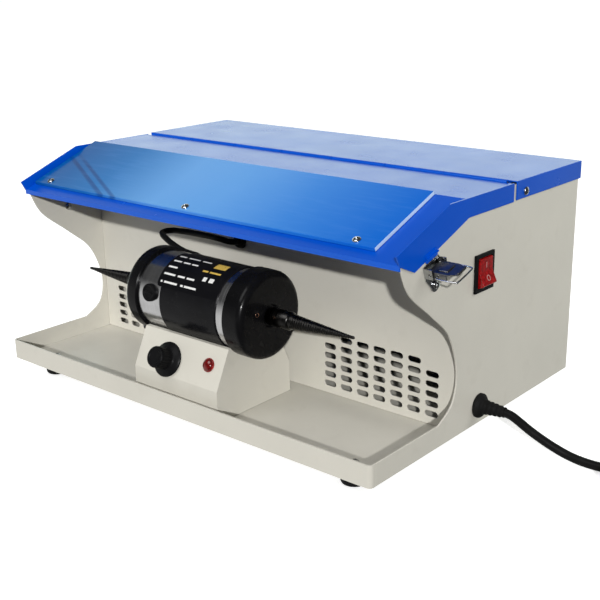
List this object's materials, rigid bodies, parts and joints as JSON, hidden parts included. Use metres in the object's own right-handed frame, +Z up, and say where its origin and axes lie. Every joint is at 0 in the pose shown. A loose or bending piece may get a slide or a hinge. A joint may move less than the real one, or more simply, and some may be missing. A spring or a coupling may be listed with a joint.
{
  "type": "bench polishing lathe with dust hood",
  "caption": "Bench polishing motor with two tapered spindles in a sheet-metal dust cabinet, with a flip-up hood, side latches, speed knob and extraction fan.",
  "frame": {"origin": "bottom centre of the machine's bounding box, on the bench under the feet, cord left out", "axes": "+X along the spindles to the user's right, -Y towards the user, +Z up"},
  "size_m": [0.6898, 0.3002, 0.2044],
  "materials": {
    "cabinet_paint": "warm grey powder coat, satin",
    "hood_paint": "bright blue enamel, gloss",
    "rubber": "black rubber, matte",
    "chrome": "bright plated",
    "shield_acrylic": "pale blue sheet with a smooth film",
    "motor_steel": "turned and polished",
    "motor_sleeve": "black enamel, semi-gloss",
    "spindle_steel": "blackened steel",
    "core_iron": "varnished laminations",
    "copper": "copper segments",
    "black_plastic": "moulded, satin",
    "red_plastic": "translucent red, gloss",
    "circuit_board": "green board",
    "filter_foam": "open-cell foam"
  },
  "bodies": {
    "cabinet": {"base_tray": "cabinet_paint", "inner_wall": "cabinet_paint", "back_panel": "cabinet_paint", "side_panel_left": "cabinet_paint", "side_panel_right": "cabinet_paint", "motor_pedestal": "cabinet_paint", "rear_lid": "hood_paint", "hinge_leaf_lid": "hood_paint", "foot_front_left": "rubber", "foot_front_right": "rubber", "foot_rear_left": "rubber", "foot_rear_right": "rubber", "cord_gland": "rubber", "mains_cord": "rubber", "cord_coil": "rubber", "mains_plug": "rubber", "motor_lead": "rubber", "lead_grommet": "rubber", "foot_screw_left": "chrome", "foot_screw_right": "chrome", "lid_screw_left": "chrome", "lid_screw_right": "chrome", "latch_base_left": "chrome", "latch_base_right": "chrome", "latch_screw_left": "chrome", "latch_screw_right": "chrome", "motor_tube": "motor_steel", "bearing_left": "motor_steel", "bearing_right": "motor_steel", "hinge_pin": "motor_steel", "motor_sleeve": "motor_sleeve", "end_cap_left": "motor_sleeve", "end_cap_right": "motor_sleeve", "stator": "core_iron", "brush_front": "black_plastic", "brush_rear": "black_plastic", "speed_pot": "black_plastic", "switch_housing": "black_plastic", "fan_frame": "black_plastic", "indicator_lamp": "red_plastic", "speed_board": "circuit_board", "filter_pad": "filter_foam"},
    "hood": {"front_hood": "hood_paint", "hinge_leaf_hood": "hood_paint", "hood_shield": "shield_acrylic", "shield_screw_1": "chrome", "shield_screw_2": "chrome", "shield_screw_3": "chrome"},
    "rotor": {"rotor_shaft": "motor_steel", "armature_core": "core_iron", "commutator": "copper", "spindle_left": "spindle_steel", "spindle_right": "spindle_steel"},
    "knob": {"speed_knob": "black_plastic"},
    "rocker": {"switch_rocker": "red_plastic"},
    "latch_lever_left": {"latch_lever_left": "chrome"},
    "latch_lever_right": {"latch_lever_right": "chrome"},
    "latch_bail_left": {"latch_bail_left": "chrome"},
    "latch_bail_right": {"latch_bail_right": "chrome"},
    "fan": {"fan_rotor": "black_plastic"}
  },
  "joints": [
    {"name": "hood_hinge", "type": "hinge", "parent": "cabinet", "child": "hood", "pos_m": [0, 0.03664, 0.2012], "axis": [-1, 0, 0], "range_deg": [0, 105]},
    {"name": "spindle_spin", "type": "hinge", "parent": "cabinet", "child": "rotor", "pos_m": [0, -0.09326, 0.0991], "axis": [1, 0, 0], "continuous": true},
    {"name": "speed_knob_turn", "type": "hinge", "parent": "cabinet", "child": "knob", "pos_m": [-0.0102, -0.13153, 0.05433], "axis": [0, 0.9028, -0.43], "range_deg": [0, 270]},
    {"name": "switch_rock", "type": "hinge", "parent": "cabinet", "child": "rocker", "pos_m": [0.2092, -0.00536, 0.1402], "axis": [0, 1, 0], "range_deg": [0, 24]},
    {"name": "fan_spin", "type": "hinge", "parent": "cabinet", "child": "fan", "pos_m": [0, 0.12334, 0.108], "axis": [0, 1, 0], "continuous": true},
    {"name": "latch_lever_left_swing", "type": "hinge", "parent": "cabinet", "child": "latch_lever_left", "pos_m": [-0.2146, -0.07663, 0.15948], "axis": [0, -0.9563, -0.2924], "range_deg": [0, 85]},
    {"name": "latch_bail_left_swing", "type": "hinge", "parent": "latch_lever_left", "child": "latch_bail_left", "pos_m": [-0.2196, -0.0764, 0.15872], "axis": [0, -0.9563, -0.2924], "range_deg": [-115, 5]},
    {"name": "latch_lever_right_swing", "type": "hinge", "parent": "cabinet", "child": "latch_lever_right", "pos_m": [0.2146, -0.07663, 0.15948], "axis": [0, 0.9563, 0.2924], "range_deg": [0, 85]},
    {"name": "latch_bail_right_swing", "type": "hinge", "parent": "latch_lever_right", "child": "latch_bail_right", "pos_m": [0.2196, -0.0764, 0.15872], "axis": [0, 0.9563, 0.2924], "range_deg": [-115, 5]}
  ]
}
